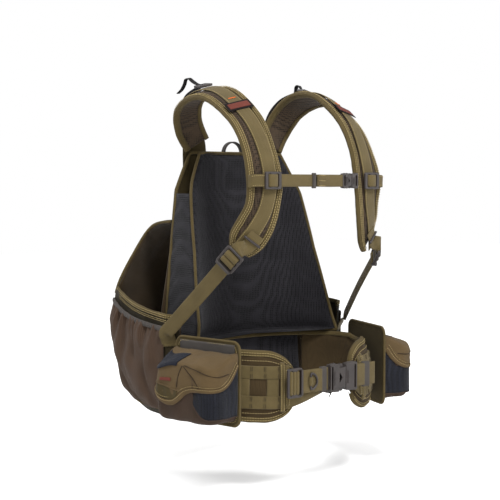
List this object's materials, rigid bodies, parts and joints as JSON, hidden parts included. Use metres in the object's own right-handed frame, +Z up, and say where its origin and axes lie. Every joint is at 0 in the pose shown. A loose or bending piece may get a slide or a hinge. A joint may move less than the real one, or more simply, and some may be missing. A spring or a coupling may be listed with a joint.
{
  "type": "strap vest with game bag",
  "caption": "Strap vest with padded shoulder harness, hip belt, two belt pouches and a side-loading rear game bag.",
  "frame": {"origin": "centre of the waist opening, halfway up the hip belt at the wearer's sides", "axes": "+Z up the wearer's body, the wearer faces -Y, the wearer's left is +X"},
  "size_m": [0.5062, 0.4669, 0.5788],
  "materials": {
    "bag_cloth": "coated woven nylon",
    "bag_lining": "coated lining",
    "black_mesh": "spacer mesh",
    "brown_cordura": "woven nylon",
    "dark_webbing": "woven webbing",
    "grey_elastic": "knitted elastic",
    "grey_plastic": "moulded acetal",
    "lid_tan": "woven nylon",
    "olive_cordura": "woven nylon, satin",
    "olive_webbing": "woven webbing",
    "patch": "woven patch, plain",
    "plastic_sheet": "flat sheet",
    "pouch_brown": "stretch knit and mesh",
    "stretch_brown": "stretch knit",
    "zip_black": "zip tape",
    "zip_metal": "black coated zinc"
  },
  "bodies": {
    "vest": {"back_pad": "black_mesh", "belt_adjuster": "grey_plastic", "belt_buckle_female": "grey_plastic", "belt_keeper_right": "grey_elastic", "belt_web_grid_left": "olive_webbing", "belt_web_grid_right": "olive_webbing", "belt_webbing_right": "olive_webbing", "belt_wing_anchor_left": "olive_webbing", "belt_wing_anchor_right": "olive_webbing", "belt_wing_left": "brown_cordura", "belt_wing_right": "brown_cordura", "d_ring_tab": "olive_webbing", "frame_panel": "olive_cordura", "frame_sheet": "plastic_sheet", "game_bag_gusset_left": "bag_lining", "game_bag_gusset_right": "bag_lining", "game_bag_lining": "bag_lining", "game_bag_side_left": "bag_cloth", "game_bag_side_right": "bag_cloth", "game_bag_wall": "bag_cloth", "haul_loop": "dark_webbing", "ladder_lock_left": "grey_plastic", "ladder_lock_right": "grey_plastic", "load_lifter_webbing_left": "dark_webbing", "load_lifter_webbing_right": "dark_webbing", "lower_strap_left": "olive_webbing", "lower_strap_right": "olive_webbing", "lumbar_pad": "black_mesh", "pouch_back_left": "olive_cordura", "pouch_back_right": "olive_cordura", "pouch_body_left": "pouch_brown", "pouch_body_right": "pouch_brown", "rear_pocket": "bag_cloth", "shoulder_pad_left": "olive_cordura", "shoulder_pad_right": "olive_cordura", "shoulder_webbing_left": "olive_webbing", "shoulder_webbing_right": "olive_webbing", "side_pocket_left": "stretch_brown", "side_pocket_right": "stretch_brown", "sternum_buckle_female": "grey_plastic", "sternum_keeper": "grey_elastic", "sternum_slider_left": "grey_plastic", "sternum_slider_right": "grey_plastic", "sternum_webbing_folds": "olive_webbing", "sternum_webbing_right": "olive_webbing", "strap_patch_left": "patch", "strap_patch_right": "patch", "zip_tape": "zip_black"},
    "sternum_plug": {"sternum_buckle_male": "grey_plastic", "sternum_webbing_left": "olive_webbing"},
    "belt_plug": {"belt_buckle_male": "grey_plastic", "belt_webbing_left": "olive_webbing", "belt_keeper_left": "grey_elastic"},
    "lid_right": {"pouch_lid_right": "lid_tan"},
    "lid_left": {"pouch_lid_left": "lid_tan"},
    "accessory_ring": {"d_ring": "grey_plastic"},
    "zip_slider": {"zip_slider": "zip_metal"},
    "zip_pull": {"zip_pull": "zip_metal"}
  },
  "joints": [
    {"name": "sternum_release", "type": "slide", "parent": "vest", "child": "sternum_plug", "axis": [1, 0, 0], "range_m": [0, 0.013]},
    {"name": "belt_release", "type": "slide", "parent": "vest", "child": "belt_plug", "axis": [1, 0, 0], "range_m": [0, 0.028]},
    {"name": "lid_right_open", "type": "hinge", "parent": "vest", "child": "lid_right", "pos_m": [-0.17516, -0.0238, 0.0512], "axis": [-0.2498, 0.9683, 0], "range_deg": [0, 75]},
    {"name": "lid_left_open", "type": "hinge", "parent": "vest", "child": "lid_left", "pos_m": [0.17516, -0.0238, 0.0512], "axis": [-0.2498, -0.9683, 0], "range_deg": [0, 75]},
    {"name": "ring_swing", "type": "hinge", "parent": "vest", "child": "accessory_ring", "pos_m": [-0.044, -0.1302, -0.002], "axis": [0, 0, 1], "range_deg": [-150, 0]},
    {"name": "zip_travel", "type": "slide", "parent": "vest", "child": "zip_slider", "axis": [1, 0, 0], "range_m": [0, 0.216]},
    {"name": "zip_pull_swing", "type": "hinge", "parent": "zip_slider", "child": "zip_pull", "pos_m": [-0.108, 0.3312, 0.062], "axis": [1, 0, 0], "range_deg": [0, 100]}
  ]
}
